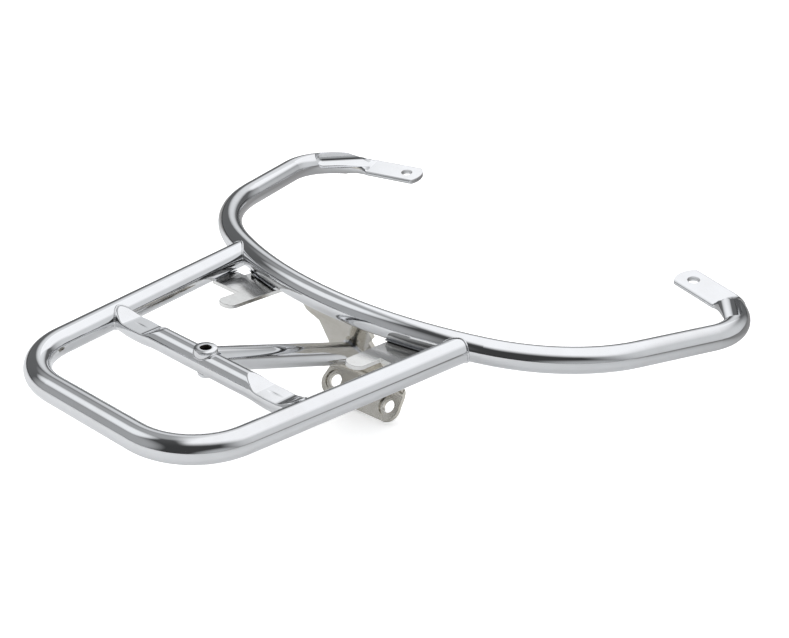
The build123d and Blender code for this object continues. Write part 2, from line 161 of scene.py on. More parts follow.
# Soft glows: degrees right of straight ahead and above level, inner and outer angle, strength
FAR_GLOWS = (
    (5.0, 29.0, 8.0, 25.0, 0.95),
    (-30.0, 56.0, 10.0, 30.0, 0.46),
    (-74.0, 48.0, 7.0, 24.0, 1.15),
)
LOW_GLOWS = (
    (85.0, 18.0, 4.0, 58.0, 0.82),
    (146.0, -6.0, 4.0, 40.0, 0.55),
    (-108.0, 16.0, 14.0, 46.0, 0.46),
)

# Overhead panel, placed right, ahead and up in the view; it fades at its left, right, near and far edges
PANEL_PLACE = (0.84, 0.78, 1.00)
PANEL_HALF = (1.09, 1.63)
PANEL_FADES = (0.22, 0.95, 0.45, 0.30)
PANEL_LEVEL = 1.28
PANEL_TINT = (0.97, 0.98, 1.0, 1.0)


def length_prop(name, description, default):
    """Length property in metres."""
    return bpy.props.FloatProperty(name=name, description=description, unit="LENGTH", default=default)


def angle_prop(name, description, degrees):
    """Angle property, given in degrees."""
    return bpy.props.FloatProperty(
        name=name, description=description, subtype="ANGLE", default=math.radians(degrees)
    )


def colour_prop(name, description, default):
    """Colour property."""
    return bpy.props.FloatVectorProperty(
        name=name, description=description, subtype="COLOR", default=default
    )


def place_prop(name, description, default):
    """Place in metres."""
    return bpy.props.FloatVectorProperty(
        name=name, description=description, subtype="XYZ", unit="LENGTH", default=default
    )


def rough_prop(name, description, default):
    """Roughness property."""
    return bpy.props.FloatProperty(
        name=name, description=description, subtype="FACTOR", default=default, min=0.0, max=1.0
    )


class RackSizes(bpy.types.PropertyGroup):
    """Sizes of the finished pieces, as the solid model has them."""

    tube_radius: length_prop("Tube radius", "Radius of the grab bar and the deck hoop", 0.00955)
    brace_radius: length_prop("Brace radius", "Radius of the cross tube", 0.00865)
    bar_ahead: length_prop("Bar ahead", "How far ahead of the boss the grab bar's middle lies", 0.1214)
    bar_rise: length_prop("Bar rise", "Height of the grab bar's middle above the deck", 0.00255)
    bar_pitch: angle_prop("Bar pitch", "Slope of the grab bar's plane", 3.51)
    bar_mid_radius: length_prop("Bar middle radius", "Radius of the grab bar's middle bend", 0.3021)
    hoop_front_half: length_prop("Hoop front half", "Half width of the hoop at the grab bar", 0.1093)
    hoop_rear_half: length_prop("Hoop rear half", "Half width of the hoop at its rear", 0.08565)
    hoop_rear_reach: length_prop("Hoop rear reach", "How far behind the boss the hoop reaches", 0.0953)
    hoop_end_setback: length_prop("Hoop end setback", "How far short of the bar's axis a rail ends", 0.0016)
    seam_radius: length_prop("Seam radius", "Radius of a weld bead along a tube joint", 0.0008)
    boss_seam_radius: length_prop("Boss seam radius", "Radius of a weld bead round the boss", 0.0006)
    seam_ripple: length_prop("Seam ripple", "Height of the ripples along a weld bead", 0.00002)
    boss_head_radius: length_prop("Boss head radius", "Radius of the boss's head", 0.0081)
    boss_shank_radius: length_prop("Boss shank radius", "Radius of the boss's shank", 0.0055)
    boss_top: length_prop("Boss top", "Height of the boss's top", 0.0112)
    boss_seat: length_prop("Boss seat", "Height of the underside of the boss's head", 0.0056)
    boss_bottom: length_prop("Boss bottom", "Height of the boss's lower end", -0.0102)
    boss_chamfer: length_prop("Boss chamfer", "Chamfer on the boss's edges", 0.0008)
    thread_minor: length_prop("Thread minor radius", "Radius of the thread's crests", 0.0034)
    thread_major: length_prop("Thread major radius", "Radius of the thread's roots", 0.004)
    thread_pitch: length_prop("Thread pitch", "Lead of the thread for one turn", 0.00125)
    plate_edge: length_prop("Sheet edge", "Rounding of the sheet pieces' edges", 0.0004)
    seat_inner: length_prop("Seat inner end", "Where a pressed seat's floor begins", 0.05445)
    seat_outer: length_prop("Seat outer end", "Where a pressed seat's floor ends", 0.07765)
    seat_floor: length_prop("Seat floor", "Height of the pressed seats' floor", 0.0028)
    seat_ramp: angle_prop("Seat ramp", "Slope of the pressed seats' ends", 28.0)
    seat_edge: length_prop("Seat edge", "Rounding of the pressed seats' edges", 0.0011)
    seat_bend: length_prop("Seat bend", "Rounding between a seat's floor and its ramps", 0.0016)
    seat_swell: length_prop("Seat swell", "How far the tube's sides swell beside a seat", 0.001)
    seat_swell_margin: length_prop("Swell margin", "How far past a seat's ends the sides swell", 0.005)
    crease_depth: length_prop("Crease depth", "Depth of the press mark along a seat's floor", 0.00018)
    crease_half: length_prop("Crease half length", "Half length of the press mark", 0.0075)
    crease_width: length_prop("Crease width", "Spread of the press mark to each side", 0.0007)


class RackFinish(bpy.types.PropertyGroup):
    """Colours and polish of the chrome."""

    bright: colour_prop("Bright chrome", "Plating where it is cleanest", (0.74, 0.75, 0.765))
    hazed: colour_prop("Hazed chrome", "Plating under a thin film of handling haze", (0.68, 0.68, 0.685))
    # The sheet pieces' warm cream and brown tints are painted reflection of warm surroundings; the haze
    # mixes each pair of tones at random
    plate: colour_prop("Sheet chrome", "Plating on the hook plates", (0.80, 0.80, 0.79))
    plate_haze_and_reflection: colour_prop(
        "Hazed sheet chrome", "Plating on the hook plates where it is thin and warm", (0.69, 0.68, 0.66)
    )
    bracket: colour_prop("Bracket chrome", "Plating on the centre bracket", (0.76, 0.735, 0.68))
    bracket_haze_and_reflection: colour_prop(
        "Hazed bracket chrome", "Plating on the bracket where it is thin and warm", (0.58, 0.545, 0.47)
    )
    # The thread's colour is the bore's bare steel darkened to near black: painted shade inside the boss
    thread: colour_prop("Thread steel", "Dark oiled steel inside the boss", (0.05, 0.042, 0.036))
    tube_roughness: rough_prop("Tube roughness", "Roughness of the polished tubes", 0.03)
    plate_roughness: rough_prop("Sheet roughness", "Roughness of the sheet pieces", 0.08)
    thread_roughness: rough_prop("Thread roughness", "Roughness of the steel inside the boss", 0.35)


class RackStudio(bpy.types.PropertyGroup):
    """Camera, floor and light."""

    camera_place: place_prop("Camera place", "Where the camera stands", (0.69915, -0.63047, 0.52238))
    camera_azimuth: angle_prop("Camera azimuth", "Turn of the view about the vertical", 40.2935)
    camera_elevation: angle_prop("Camera elevation", "How far the view looks down", 27.3626)
    camera_roll: angle_prop("Camera roll", "Lean of the camera about its own line of sight", 2.8304)
    lens: bpy.props.FloatProperty(
        name="Lens", description="Focal length on a 36 mm wide sensor", default=72.3765, min=1.0,
    )
    floor_colour: colour_prop("Floor", "Colour of the pale floor", (0.93, 0.93, 0.93))
    table_colour: colour_prop(
        "Table", "Floor near the rack as its chrome mirrors it", (0.80, 0.805, 0.81)
    )
    room_colour: colour_prop(
        "Room", "Floor beyond the table's far edge as the chrome mirrors it", (0.34, 0.335, 0.33)
    )
    table_edge: length_prop("Table edge", "How far beyond the origin the table ends", 0.2)
    table_fade: length_prop("Table fade", "Width over which the table gives way to the room", 0.32)
    floor_lift: bpy.props.FloatProperty(
        name="Floor lift", description="Light added to the floor where the camera sees it straight",
        default=0.45, min=0.0,
    )
    floor_size: length_prop("Floor size", "Half width of the floor", 14.0)
    key_power: bpy.props.FloatProperty(
        name="Overhead power", description="Power of the soft light above", default=80.0, min=0.0,
    )
    key_size: length_prop("Overhead size", "Width of the soft light above", 3.0)
    key_place: place_prop("Overhead place", "Where the soft light above hangs", (0.0, 0.1, 2.2))


def new_group(name, inputs, outputs):
    """Empty shader node group with named sockets, and its input and output nodes."""
    group = bpy.data.node_groups.new(name, "ShaderNodeTree")
    for label, default in inputs:
        socket = group.interface.new_socket(label, in_out="INPUT", socket_type="NodeSocketFloat")
        socket.default_value = default
    for label in outputs:
        group.interface.new_socket(label, in_out="OUTPUT", socket_type="NodeSocketFloat")
    return group, group.nodes.new("NodeGroupInput"), group.nodes.new("NodeGroupOutput")


def math_node(tree, operation, first, second):
    """Math node whose two inputs are sockets or plain numbers."""
    node = tree.nodes.new("ShaderNodeMath")
    node.operation = operation
    for socket, value in zip(node.inputs, (first, second)):
        if isinstance(value, (int, float)):
            socket.default_value = value
        else:
            tree.links.new(value, socket)
    return node.outputs[0]


def colour_mix(tree, factor, first, second):
    """Mix of two colours, each a fixed colour or a socket, by a socket."""
    node = tree.nodes.new("ShaderNodeMix")
    node.data_type = "RGBA"
    tree.links.new(factor, node.inputs["Factor"])
    for label, value in (("A", first), ("B", second)):
        if isinstance(value, bpy.types.NodeSocket):
            tree.links.new(value, node.inputs[label])
        else:
            node.inputs[label].default_value = (*value, 1.0)
    return node.outputs["Result"]


def polish_haze_group():
    """Cloudy film left by handling and polishing, as a mask."""
    group, given, result = new_group(
        "polish_haze", (("Cloud Scale", 18.0), ("Wisp Scale", 90.0), ("Contrast", 2.0)), ("Haze",)
    )
    place = group.nodes.new("ShaderNodeTexCoord")
    cloud = group.nodes.new("ShaderNodeTexNoise")
    wisp = group.nodes.new("ShaderNodeTexNoise")
    for noise, label in ((cloud, "Cloud Scale"), (wisp, "Wisp Scale")):
        noise.inputs["Detail"].default_value = 4.0
        group.links.new(place.outputs["Object"], noise.inputs["Vector"])
        group.links.new(given.outputs[label], noise.inputs["Scale"])
    both = math_node(group, "MULTIPLY", cloud.outputs["Fac"], wisp.outputs["Fac"])
    spread = math_node(group, "MULTIPLY", both, given.outputs["Contrast"])
    limited = math_node(group, "MINIMUM", spread, 1.0)
    group.links.new(limited, result.inputs["Haze"])
    return group


def fine_grain_group():
    """Fine orange-peel grain of plated metal, as a height."""
    group, given, result = new_group(
        "fine_grain", (("Grain Scale", 900.0), ("Wave Scale", 60.0), ("Wave Share", 0.5)), ("Height",)
    )
    place = group.nodes.new("ShaderNodeTexCoord")
    grain = group.nodes.new("ShaderNodeTexVoronoi")
    grain.feature = "SMOOTH_F1"
    wave = group.nodes.new("ShaderNodeTexNoise")
    for texture, label in ((grain, "Grain Scale"), (wave, "Wave Scale")):
        group.links.new(place.outputs["Object"], texture.inputs["Vector"])
        group.links.new(given.outputs[label], texture.inputs["Scale"])
    swell = math_node(group, "MULTIPLY", wave.outputs["Fac"], given.outputs["Wave Share"])
    height = math_node(group, "ADD", grain.outputs["Distance"], swell)
    group.links.new(height, result.inputs["Height"])
    return group


def shared_group(name, maker):
    """The named node group, made the first time it is asked for."""
    return bpy.data.node_groups.get(name) or maker()


def place_group(tree, group, values):
    """A node that holds the group, with its inputs set by name."""
    node = tree.nodes.new("ShaderNodeGroup")
    node.node_tree = group
    for label, value in values.items():
        node.inputs[label.replace("_", " ").title()].default_value = value
    return node


def chrome_material(name, light, dark, roughness):
    """Chrome whose colour and gloss follow the haze and whose surface carries a fine grain."""
    finish = FINISHES[name]
    material = bpy.data.materials.new(name)
    material.use_nodes = True
    tree = material.node_tree
    shader = tree.nodes["Principled BSDF"]
    shader.inputs["Metallic"].default_value = 1.0
    haze = place_group(tree, shared_group("polish_haze", polish_haze_group), finish["haze"])
    grain = place_group(tree, shared_group("fine_grain", fine_grain_group), finish["grain"])
    colour = colour_mix(tree, haze.outputs["Haze"], light, dark)
    tree.links.new(colour, shader.inputs["Base Color"])
    gloss = tree.nodes.new("ShaderNodeMapRange")
    gloss.inputs["To Min"].default_value = roughness
    gloss.inputs["To Max"].default_value = roughness + finish["spread"]
    tree.links.new(haze.outputs["Haze"], gloss.inputs["Value"])
    tree.links.new(gloss.outputs["Result"], shader.inputs["Roughness"])
    relief = tree.nodes.new("ShaderNodeBump")
    relief.inputs["Strength"].default_value = finish["bump"]
    relief.inputs["Distance"].default_value = BUMP_DISTANCE
    tree.links.new(grain.outputs["Height"], relief.inputs["Height"])
    tree.links.new(relief.outputs["Normal"], shader.inputs["Normal"])
    return material


def dress(names, material):
    """Give CAD nodes one finished material."""
    for name in names:
        slots = NODES[name].data.materials
        slots.clear()
        slots.append(material)


def plain_mesh(obj):
    """The object's mesh with its modifiers applied; the object itself goes."""
    graph = bpy.context.evaluated_depsgraph_get()
    mesh = bpy.data.meshes.new_from_object(obj.evaluated_get(graph))
    bpy.data.objects.remove(obj)
    return mesh


def add_piece(name, mesh, materials, node):
    """Finished piece that stands for a CAD node."""
    mesh.name = name
    # Clearing also resets the faces' materials, so it is kept to meshes that bring some
    if mesh.materials:
        mesh.materials.clear()
    for material in materials:
        mesh.materials.append(material)
    piece = bpy.data.objects.new(name, mesh)
    bpy.context.collection.objects.link(piece)
    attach(piece, "root")
    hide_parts(node)


def soft_edged_mesh(node, width):
    """Merged copy of a CAD node's mesh with small rounded edges."""
    mesh = NODES[node].data.copy()
    shape = bmesh.new()
    shape.from_mesh(mesh)
    bmesh.ops.remove_doubles(shape, verts=shape.verts, dist=MERGE_DISTANCE)
    bmesh.ops.dissolve_limit(shape, angle_limit=FLAT_ANGLE, verts=shape.verts, edges=shape.edges)
    for face in shape.faces:
        face.smooth = True
    shape.to_mesh(mesh)
    shape.free()
    blank = bpy.data.objects.new("blank", mesh)
    bpy.context.collection.objects.link(blank)
    bevel = blank.modifiers.new("edges", "BEVEL")
    bevel.width = width
    bevel.segments = SHEET_EDGE_SEGMENTS
    bevel.limit_method = "ANGLE"
    bevel.angle_limit = SHEET_EDGE_ANGLE
    level = blank.modifiers.new("level", "WEIGHTED_NORMAL")
    level.weight = FLAT_FACE_WEIGHT
    return plain_mesh(blank)


def ring_faces(first, second, count):
    """Four-sided faces between two rings of points, each ring given by its first point."""
    faces = []
    for step in range(count):
        turn = (step + 1) % count
        faces.append((first + step, first + turn, second + turn, second + step))
    return faces


def turned_mesh(name, rings):
    """Closed mesh through rings of points, each joined to the next and the last to the first."""
    mesh = bpy.data.meshes.new(name)
    count = len(rings[0])
    points = [point for ring in rings for point in ring]
    faces = []
    for ring in range(len(rings)):
        after = (ring + 1) % len(rings)
        faces += ring_faces(ring * count, after * count, count)
    mesh.from_pydata(points, [], faces)
    mesh.shade_smooth()
    mesh.set_sharp_from_angle(angle=TURNED_EDGE_ANGLE)
    return mesh


def turn_angles(count):
    """Angles once round a circle."""
    return [2.0 * math.pi * step / count for step in range(count)]


def boss_mesh(sizes):
    """Turned boss with a flanged head, chamfered ends and a cut thread through its bore."""
    angles = turn_angles(BOSS_SIDES)
    chamfer = sizes.boss_chamfer
    under = HEAD_UNDER_BEVEL * chamfer
    shoulder_in = HEAD_SHOULDER_IN * chamfer
    shoulder_down = HEAD_SHOULDER_DOWN * chamfer
    mouth = sizes.thread_minor + chamfer
    outline = (
        (mouth, sizes.boss_bottom),
        (sizes.boss_shank_radius - chamfer, sizes.boss_bottom),
        (sizes.boss_shank_radius, sizes.boss_bottom + chamfer),
        (sizes.boss_shank_radius, sizes.boss_seat),
        (sizes.boss_head_radius - under, sizes.boss_seat),
        (sizes.boss_head_radius, sizes.boss_seat + under),
        (sizes.boss_head_radius, sizes.boss_top - chamfer),
        (sizes.boss_head_radius - shoulder_in, sizes.boss_top - shoulder_down),
        (sizes.boss_head_radius - chamfer, sizes.boss_top),
        (mouth, sizes.boss_top),
    )
    rings = [[(radius * math.cos(a), radius * math.sin(a), z) for a in angles] for radius, z in outline]
    depth = sizes.thread_major - sizes.thread_minor
    span = sizes.boss_top - sizes.boss_bottom
    steps = round(span / sizes.thread_pitch * THREAD_RINGS)
    for step in range(1, steps):
        height = sizes.boss_top - span * step / steps
        into_end = min(sizes.boss_top - height, height - sizes.boss_bottom)
        cone = mouth - into_end
        ring = []
        for angle in angles:
            phase = (height / sizes.thread_pitch - angle / (2.0 * math.pi)) % 1.0
            rise = THREAD_SLOPE * (1.0 - abs(2.0 * phase - 1.0)) - THREAD_CREST
            flank = min(max(rise, 0.0), 1.0)
            radius = max(sizes.thread_minor + depth * flank, cone)
            ring.append((radius * math.cos(angle), radius * math.sin(angle), height))
        rings.append(ring)
    mesh = turned_mesh("threaded_boss", rings)
    first_thread_face = len(outline) * len(angles)
    for face in mesh.polygons[first_thread_face:]:
        face.material_index = 1
    return mesh


def smooth_least(first, second, blend):
    """Lesser of two lengths, rounded where they cross."""
    share = max(blend - abs(first - second), 0.0) / blend
    return min(first, second) - share * share * blend / 4.0


def seat_height(sizes, x):
    """Height of a pressed seat's floor or ramp at a place along the cross tube."""
    outside = max(sizes.seat_inner - abs(x), abs(x) - sizes.seat_outer)
    return sizes.seat_floor - smooth_least(-outside * math.tan(sizes.seat_ramp), 0.0, sizes.seat_bend)


def pressed_point(sizes, x, angle):
    """Point on the cross tube's skin, with the pressed seats, their swollen sides and press marks."""
    middle = (sizes.seat_inner + sizes.seat_outer) / 2.0
    reach = sizes.seat_outer - middle + sizes.seat_swell_margin
    away = min(abs(abs(x) - middle) / reach, 1.0)
    radius = sizes.brace_radius + sizes.seat_swell * (1.0 - away * away)
    y = radius * math.cos(angle)
    z = smooth_least(radius * math.sin(angle), seat_height(sizes, x), sizes.seat_edge)
    if z > 0.0:
        along = min(abs(abs(x) - middle) / sizes.crease_half, 1.0)
        mark = math.exp(-((y / sizes.crease_width) ** 2)) * (1.0 - along * along) ** 2
        z -= sizes.crease_depth * mark
    return (x, y, z)


def cross_tube_mesh(sizes):
    """Cross tube whose top is pressed flat beside both rails, closed inside the rails."""
    angles = turn_angles(CROSS_SIDES)
    count = len(angles)
    ends = {side: cross_seam(sizes, side, angles) for side in (-1, 1)}
    plain = sizes.seat_outer + sizes.seat_swell_margin
    fine_from = sizes.seat_inner - CROSS_FINE_LEAD * sizes.brace_radius
    stations = [0.0]
    while stations[-1] < plain:
        step = CROSS_FINE_STEP if stations[-1] > fine_from else CROSS_WIDE_STEP
        stations.append(stations[-1] + step)
    last = stations[-1]
    places = [-x for x in reversed(stations[1:])] + stations
    rings = [[pressed_point(sizes, x, angle) for angle in angles] for x in places]
    for side in (-1, 1):
        for share in CROSS_END_SHARES:
            ring = []
            for angle, end in zip(angles, ends[side]):
                x = last + share * (abs(end.x) + CROSS_END_COVER - last)
                ring.append(pressed_point(sizes, side * x, angle))
            if side > 0:
                rings.append(ring)
            else:
                rings.insert(0, ring)
    points = [point for ring in rings for point in ring]
    faces = []
    for ring in range(len(rings) - 1):
        faces += ring_faces(ring * count, (ring + 1) * count, count)
    for ring, side in ((0, -1), (len(rings) - 1, 1)):
        cap = max(abs(end.x) for end in ends[side]) + CROSS_CAP_RISE
        points.append((side * cap, 0.0, 0.0))
        for step in range(count):
            corners = (ring * count + step, ring * count + (step + 1) % count)
            faces.append((*corners[::side], len(points) - 1))
    mesh = bpy.data.meshes.new("cross_tube")
    mesh.from_pydata(points, [], faces)
    mesh.shade_smooth()
    return mesh


def rail_line(sizes, side):
    """End of a hoop rail at the grab bar, and the direction in which the rail runs back from it."""
    bar = sizes.bar_mid_radius
    front = sizes.bar_ahead + bar - math.sqrt(bar ** 2 - sizes.hoop_front_half ** 2)
    slope = (sizes.hoop_front_half - sizes.hoop_rear_half) / (front + sizes.hoop_rear_reach)
    half = sizes.hoop_front_half - slope * sizes.hoop_end_setback
    end = Vector((side * half, front - sizes.hoop_end_setback, 0.0))
    return end, Vector((-side * slope, -1.0, 0.0)).normalized()


def bar_distance(sizes, point):
    """Distance of a point from the centre line of the grab bar's middle bend."""
    ahead = Vector((0.0, math.cos(sizes.bar_pitch), -math.sin(sizes.bar_pitch)))
    above = Vector((0.0, math.sin(sizes.bar_pitch), math.cos(sizes.bar_pitch)))
    place = point - Vector((0.0, sizes.bar_ahead, sizes.bar_rise))
    reach = math.hypot(place.x, place.dot(ahead) - sizes.bar_mid_radius) - sizes.bar_mid_radius
    return math.hypot(reach, place.dot(above))


def first_outside(start, along, distance, radius):
    """First point from a start along a direction that is a radius or more away by the given measure."""
    if distance(start) >= radius:
        return start
    low = 0.0
    high = SEARCH_REACH
    for _ in range(SEARCH_HALVINGS):
        middle = (low + high) / 2
        if distance(start + along * middle) < radius:
            low = middle
        else:
            high = middle
    return start + along * high


def hoop_seam(sizes, side):
    """Line where a hoop rail's end meets the grab bar."""
    end, back = rail_line(sizes, side)
    across = UP.cross(back)
    points = []
    for angle in turn_angles(SEAM_POINTS):
        start = end + (across * math.cos(angle) + UP * math.sin(angle)) * sizes.tube_radius
        points.append(first_outside(start, back, lambda p: bar_distance(sizes, p), sizes.tube_radius))
    return points


def cross_seam(sizes, side, angles):
    """Line where the cross tube's end meets a hoop rail."""
    end, back = rail_line(sizes, side)
    rail_x = (end - back * (end.y / back.y)).x
    inward = Vector((-side, 0.0, 0.0))
    radius = sizes.brace_radius
    points = []
    for angle in angles:
        start = Vector((rail_x, math.cos(angle) * radius, math.sin(angle) * radius))
        points.append(
            first_outside(start, inward, lambda p: (p - end).cross(back).length, sizes.tube_radius)
        )
    return points


def boss_seam(sizes, radius, side, lowest):
    """Line round the boss where it meets the top or the underside of the cross tube."""
    points = []
    for angle in turn_angles(SEAM_POINTS):
        y = radius * math.sin(angle)
        drop = math.sqrt(sizes.brace_radius ** 2 - y ** 2)
        z = -side * smooth_least(-drop, -lowest, BOSS_SEAM_BLEND)
        points.append(Vector((radius * math.cos(angle), y, z)))
    return points


def bead_tree():
    """Geometry nodes that lay a rippled weld bead along a closed seam."""
    tree = bpy.data.node_groups.new("weld_bead", "GeometryNodeTree")
    tree.interface.new_socket("Seam", in_out="INPUT", socket_type="NodeSocketGeometry")
    for label in ("Bead Radius", "Ripple Height", "Ripple Count"):
        tree.interface.new_socket(label, in_out="INPUT", socket_type="NodeSocketFloat")
    tree.interface.new_socket("Finish", in_out="INPUT", socket_type="NodeSocketMaterial")
    tree.interface.new_socket("Bead", in_out="OUTPUT", socket_type="NodeSocketGeometry")
    given = tree.nodes.new("NodeGroupInput")
    result = tree.nodes.new("NodeGroupOutput")
    seam = tree.nodes.new("GeometryNodeMeshToCurve")
    dense = tree.nodes.new("GeometryNodeResampleCurve")
    dense.inputs["Count"].default_value = BEAD_POINTS
    mark = tree.nodes.new("GeometryNodeStoreNamedAttribute")
    mark.data_type = "FLOAT"
    mark.domain = "POINT"
    mark.inputs["Name"].default_value = "seam_share"
    along = tree.nodes.new("GeometryNodeSplineParameter")
    section = tree.nodes.new("GeometryNodeCurvePrimitiveCircle")
    section.inputs["Resolution"].default_value = BEAD_SIDES
    sweep = tree.nodes.new("GeometryNodeCurveToMesh")
    share = tree.nodes.new("GeometryNodeInputNamedAttribute")
    share.data_type = "FLOAT"
    share.inputs["Name"].default_value = "seam_share"
    turns = math_node(tree, "MULTIPLY", share.outputs["Attribute"], given.outputs["Ripple Count"])
    wave = math_node(tree, "SINE", math_node(tree, "MULTIPLY", turns, 2.0 * math.pi), 0.0)
    noise = tree.nodes.new("ShaderNodeTexNoise")
    noise.inputs["Scale"].default_value = BEAD_NOISE_SCALE
    rough = math_node(tree, "MULTIPLY", noise.outputs["Fac"], BEAD_NOISE_SHARE)
    uneven = math_node(tree, "ADD", wave, rough)
    height = math_node(tree, "MULTIPLY", uneven, given.outputs["Ripple Height"])
    lift = tree.nodes.new("ShaderNodeVectorMath")
    lift.operation = "SCALE"
    facing = tree.nodes.new("GeometryNodeInputNormal")
    swell = tree.nodes.new("GeometryNodeSetPosition")
    smooth = tree.nodes.new("GeometryNodeSetShadeSmooth")
    realize = tree.nodes.new("GeometryNodeRealizeInstances")
    finish = tree.nodes.new("GeometryNodeSetMaterial")
    for start, end in (
        (given.outputs["Seam"], seam.inputs["Mesh"]),
        (seam.outputs["Curve"], dense.inputs["Curve"]),
        (dense.outputs["Curve"], mark.inputs["Geometry"]),
        (along.outputs["Factor"], mark.inputs["Value"]),
        (mark.outputs["Geometry"], sweep.inputs["Curve"]),
        (given.outputs["Bead Radius"], section.inputs["Radius"]),
        (section.outputs["Curve"], sweep.inputs["Profile Curve"]),
        (sweep.outputs["Mesh"], swell.inputs["Geometry"]),
        (facing.outputs["Normal"], lift.inputs["Vector"]),
        (height, lift.inputs["Scale"]),
        (lift.outputs["Vector"], swell.inputs["Offset"]),
        (swell.outputs["Geometry"], smooth.inputs["Geometry"]),
        (smooth.outputs["Geometry"], realize.inputs["Geometry"]),
        (realize.outputs["Geometry"], finish.inputs["Geometry"]),
        (given.outputs["Finish"], finish.inputs["Material"]),
        (finish.outputs["Geometry"], result.inputs["Bead"]),
    ):
        tree.links.new(start, end)
    return tree


def bead_mesh(tree, points, radius, ripple, material):
    """Weld bead along a closed row of points."""
    seam = bpy.data.meshes.new("seam")
    count = len(points)
    seam.from_pydata(points, [(step, (step + 1) % count) for step in range(count)], [])
    blank = bpy.data.objects.new("seam", seam)
    bpy.context.collection.objects.link(blank)
    bead = blank.modifiers.new("bead", "NODES")
    bead.node_group = tree
    length = sum((points[step] - points[step - 1]).length for step in range(count))
    values = {
        "Bead Radius": radius,
        "Ripple Height": ripple,
        "Ripple Count": float(round(length / (RIPPLE_PITCH * radius))),
        "Finish": material,
    }
    for item in tree.interface.items_tree:
        if item.name in values:
            bead[item.identifier] = values[item.name]
    return plain_mesh(blank)


class RACK_OT_tubes(bpy.types.Operator):
    """Polish the bent and straight tubes"""

    bl_idname = "rack.tubes"
    bl_label = "Tubes"

    def execute(self, context):
        finish = context.scene.rack_finish
        dress(TUBES, chrome_material("polished_tube", finish.bright, finish.hazed, finish.tube_roughness))
        return {"FINISHED"}


class RACK_OT_cross_tube(bpy.types.Operator):
    """Make the cross tube with its pressed seats"""

    bl_idname = "rack.cross_tube"
    bl_label = "Cross tube"

    def execute(self, context):
        finish = context.scene.rack_finish
        material = chrome_material("pressed_tube", finish.bright, finish.hazed, finish.tube_roughness)
        mesh = cross_tube_mesh(context.scene.rack_sizes)
        add_piece("cross_tube_pressed", mesh, (material,), "cross_tube")
        return {"FINISHED"}


class RACK_OT_plates(bpy.types.Operator):
    """Finish the bracket and the hook plates"""

    bl_idname = "rack.plates"
    bl_label = "Sheet pieces"

    def execute(self, context):
        finish = context.scene.rack_finish
        roughness = finish.plate_roughness
        # The bracket's cream and brown and the hook plates' warm grey are painted reflection, mixed at
        # random by the haze
        bracket = chrome_material("bracket_chrome", finish.bracket, finish.bracket_haze_and_reflection, roughness)
        hooks = chrome_material("hook_chrome", finish.plate, finish.plate_haze_and_reflection, roughness)
        for node, material in (("centre_bracket", bracket), *((hook, hooks) for hook in HOOKS)):
            mesh = soft_edged_mesh(node, context.scene.rack_sizes.plate_edge)
            add_piece(node + "_sheet", mesh, (material,), node)
        return {"FINISHED"}


class RACK_OT_boss(bpy.types.Operator):
    """Turn the threaded boss"""

    bl_idname = "rack.boss"
    bl_label = "Threaded boss"

    def execute(self, context):
        finish = context.scene.rack_finish
        material = chrome_material("turned_boss", finish.bright, finish.hazed, finish.tube_roughness)
        # The thread's near-black colour and its darker hazed tone are painted shade inside the bore
        shade = [THREAD_SHADE * part for part in finish.thread]
        thread = chrome_material("thread_painted_shade", finish.thread, shade, finish.thread_roughness)
        mesh = boss_mesh(context.scene.rack_sizes)
        add_piece("boss_turned", mesh, (material, thread), "threaded_boss")
        return {"FINISHED"}


class RACK_OT_welds(bpy.types.Operator):
    """Lay the weld beads along the tube joints and finish the other welds"""

    bl_idname = "rack.welds"
    bl_label = "Weld beads"

    def execute(self, context):
        finish = context.scene.rack_finish
        sizes = context.scene.rack_sizes
        material = chrome_material("weld_bead_chrome", finish.bright, finish.hazed, finish.tube_roughness)
        dress(PLAIN_WELDS, material)
        angles = turn_angles(SEAM_POINTS)
        seams = (
            (hoop_seam(sizes, 1), sizes.seam_radius),
            (hoop_seam(sizes, -1), sizes.seam_radius),
            (cross_seam(sizes, 1, angles), sizes.seam_radius),
            (cross_seam(sizes, -1, angles), sizes.seam_radius),
            (boss_seam(sizes, sizes.boss_head_radius, 1, sizes.boss_seat), sizes.boss_seam_radius),
            (boss_seam(sizes, sizes.boss_shank_radius, -1, 0.0), sizes.boss_seam_radius),
        )
        tree = bead_tree()
        for node, (points, radius) in zip(SEAMS, seams):
            mesh = bead_mesh(tree, points, radius, sizes.seam_ripple, material)
            add_piece(node + "_bead", mesh, (material,), node)
        return {"FINISHED"}


def pick_for_camera(tree, reflected, seen):
    """A socket's colour in reflections, and a fixed colour where the camera sees it straight."""
    path = tree.nodes.new("ShaderNodeLightPath")
    return colour_mix(tree, path.outputs["Is Camera Ray"], reflected, seen)


def ramp_node(tree, value, low, high, below, above):
    """Smooth step of a socket from one level to another."""
    node = tree.nodes.new("ShaderNodeMapRange")
    node.interpolation_type = "SMOOTHSTEP"
    for label, number in (("From Min", low), ("From Max", high), ("To Min", below), ("To Max", above)):
        node.inputs[label].default_value = number
    tree.links.new(value, node.inputs["Value"])
    return node.outputs["Result"]


def dot_node(tree, vector, direction):
    """Length of a vector socket along a fixed direction."""
    node = tree.nodes.new("ShaderNodeVectorMath")
    node.operation = "DOT_PRODUCT"
    node.inputs[1].default_value = direction
    tree.links.new(vector, node.inputs[0])
    return node.outputs["Value"]


